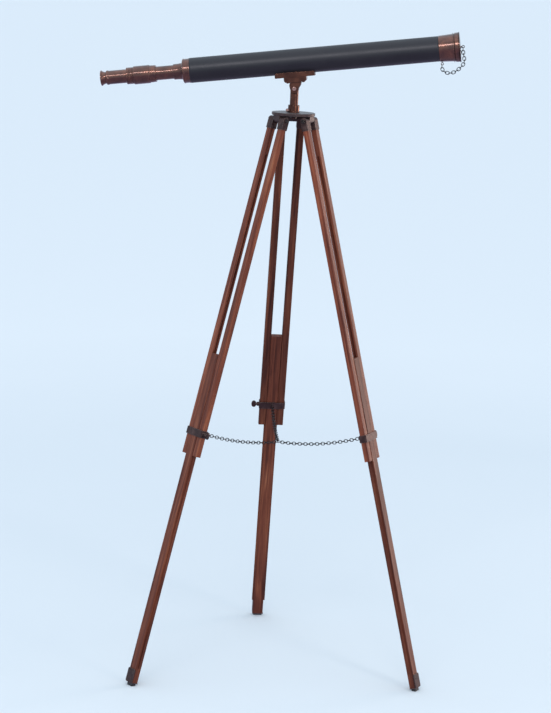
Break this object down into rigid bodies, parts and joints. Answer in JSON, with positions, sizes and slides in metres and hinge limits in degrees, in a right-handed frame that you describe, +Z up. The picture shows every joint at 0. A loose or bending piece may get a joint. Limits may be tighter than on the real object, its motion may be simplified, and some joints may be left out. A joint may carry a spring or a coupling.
{
  "type": "telescope on tripod",
  "caption": "Floor-standing refracting telescope with a leather-wrapped draw tube on a folding, height-adjustable wooden tripod",
  "frame": {"origin": "on the floor, on the stand's vertical axis", "axes": "+Z up, +X towards the objective, the eyepiece at -X, +Y to the left of the pointing direction; legs at 100, 220 and 340 degrees from +X"},
  "size_m": [0.9072, 0.6992, 1.6421],
  "materials": {
    "antique_copper": "antiqued copper, dark red-brown, satin, worn brighter on edges",
    "dark_metal": "oxidised dark metal, satin",
    "chain_metal": "dark oxidised wire",
    "rosewood": "red-brown stained hardwood, satin varnish",
    "black_leather": "black grained leather, soft sheen",
    "bright_brass": "plain brass, inside",
    "lens_glass": "clear polished glass",
    "foot_rubber": "black rubber"
  },
  "bodies": {
    "head": {"tripod_head": "dark_metal", "post_socket": "antique_copper", "leg_hinge_bolts": "dark_metal", "leg_hinge_nuts": "dark_metal", "spreader_ring": "chain_metal", "spreader_chain_rear": "chain_metal", "spreader_chain_left": "chain_metal", "spreader_chain_right": "chain_metal"},
    "azimuth_lock": {"azimuth_lock_screw": "antique_copper"},
    "post": {"pivot_post": "antique_copper", "post_washer": "dark_metal", "post_nut": "dark_metal"},
    "tilt_lock": {"tilt_nut": "antique_copper"},
    "telescope": {"saddle_plate": "antique_copper", "tilt_bracket": "antique_copper", "saddle_screws": "antique_copper", "tilt_bolt": "antique_copper", "main_tube": "bright_brass", "leather_wrap": "black_leather", "rear_ring": "antique_copper", "draw_guide": "antique_copper", "objective_cell": "antique_copper", "objective_lens": "lens_glass", "lens_retainer": "bright_brass", "tube_baffle": "bright_brass", "chain_eye": "antique_copper", "cap_chain": "chain_metal"},
    "cap": {"lens_cap": "antique_copper", "cap_stud": "antique_copper"},
    "draw": {"draw_tube": "antique_copper", "eyepiece_barrel": "antique_copper", "eyepiece_bush": "antique_copper", "erector_lenses": "lens_glass"},
    "eyepiece": {"eyepiece_tube": "antique_copper", "eyecup": "antique_copper", "eyepiece_lenses": "lens_glass"},
    "leg_rear": {"rail_rear_a": "rosewood", "rail_rear_b": "rosewood", "hinge_caps_rear": "dark_metal", "clamp_band_rear": "dark_metal"},
    "lower_rear": {"lower_leg_rear": "rosewood", "leg_shoe_rear": "dark_metal", "foot_tip_rear": "foot_rubber"},
    "clamp_lock_rear": {"clamp_screw_rear": "dark_metal"},
    "leg_left": {"rail_left_a": "rosewood", "rail_left_b": "rosewood", "hinge_caps_left": "dark_metal", "clamp_band_left": "dark_metal"},
    "lower_left": {"lower_leg_left": "rosewood", "leg_shoe_left": "dark_metal", "foot_tip_left": "foot_rubber"},
    "clamp_lock_left": {"clamp_screw_left": "dark_metal"},
    "leg_right": {"rail_right_a": "rosewood", "rail_right_b": "rosewood", "hinge_caps_right": "dark_metal", "clamp_band_right": "dark_metal"},
    "lower_right": {"lower_leg_right": "rosewood", "leg_shoe_right": "dark_metal", "foot_tip_right": "foot_rubber"},
    "clamp_lock_right": {"clamp_screw_right": "dark_metal"}
  },
  "joints": [
    {"name": "pan", "type": "hinge", "parent": "head", "child": "post", "pos_m": [0, 0, 1.45], "axis": [0, 0, 1], "continuous": true},
    {"name": "pan_lock_turn", "type": "hinge", "parent": "head", "child": "azimuth_lock", "pos_m": [0, 0, 1.4294], "axis": [-0.7431, -0.6691, 0], "range_deg": [-360, 0]},
    {"name": "tilt", "type": "hinge", "parent": "post", "child": "telescope", "pos_m": [0, 0, 1.4827], "axis": [0, -1, 0], "range_deg": [-40, 55]},
    {"name": "tilt_lock_turn", "type": "hinge", "parent": "telescope", "child": "tilt_lock", "pos_m": [0, 0, 1.4827], "axis": [0, -1, 0], "range_deg": [-360, 0]},
    {"name": "cap_slide", "type": "slide", "parent": "telescope", "child": "cap", "axis": [0.9907, 0, 0.1357], "range_m": [0, 0.03], "deforming": ["cap_chain"]},
    {"name": "draw_slide", "type": "slide", "parent": "telescope", "child": "draw", "axis": [0.9907, 0, 0.1357], "range_m": [-0.06, 0.042]},
    {"name": "eyepiece_slide", "type": "slide", "parent": "draw", "child": "eyepiece", "axis": [0.9907, 0, 0.1357], "range_m": [-0.01, 0.024]},
    {"name": "fold_rear", "type": "hinge", "parent": "head", "child": "leg_rear", "pos_m": [-0.00755, 0.04284, 1.406], "axis": [-0.9848, -0.1736, 0], "range_deg": [0, 14], "deforming": ["spreader_chain_rear"]},
    {"name": "extend_rear", "type": "slide", "parent": "leg_rear", "child": "lower_rear", "axis": [0.0441, -0.2503, 0.9672], "range_m": [-0.12, 0.49]},
    {"name": "clamp_turn_rear", "type": "hinge", "parent": "leg_rear", "child": "clamp_lock_rear", "pos_m": [-0.04291, 0.24334, 0.63131], "axis": [-0.9848, -0.1736, 0], "range_deg": [-360, 0]},
    {"name": "fold_left", "type": "hinge", "parent": "head", "child": "leg_left", "pos_m": [-0.03332, -0.02796, 1.406], "axis": [0.6428, -0.766, 0], "range_deg": [0, 14], "deforming": ["spreader_chain_left"]},
    {"name": "extend_left", "type": "slide", "parent": "leg_left", "child": "lower_left", "axis": [0.1947, 0.1634, 0.9672], "range_m": [-0.12, 0.49]},
    {"name": "clamp_turn_left", "type": "hinge", "parent": "leg_left", "child": "clamp_lock_left", "pos_m": [-0.18928, -0.15883, 0.63131], "axis": [0.6428, -0.766, 0], "range_deg": [-360, 0]},
    {"name": "fold_right", "type": "hinge", "parent": "head", "child": "leg_right", "pos_m": [0.04088, -0.01488, 1.406], "axis": [0.342, 0.9397, 0], "range_deg": [0, 14], "deforming": ["spreader_chain_right"]},
    {"name": "extend_right", "type": "slide", "parent": "leg_right", "child": "lower_right", "axis": [-0.2388, 0.0869, 0.9672], "range_m": [-0.12, 0.49]},
    {"name": "clamp_turn_right", "type": "hinge", "parent": "leg_right", "child": "clamp_lock_right", "pos_m": [0.23219, -0.08451, 0.63131], "axis": [0.342, 0.9397, 0], "range_deg": [-360, 0]}
  ]
}
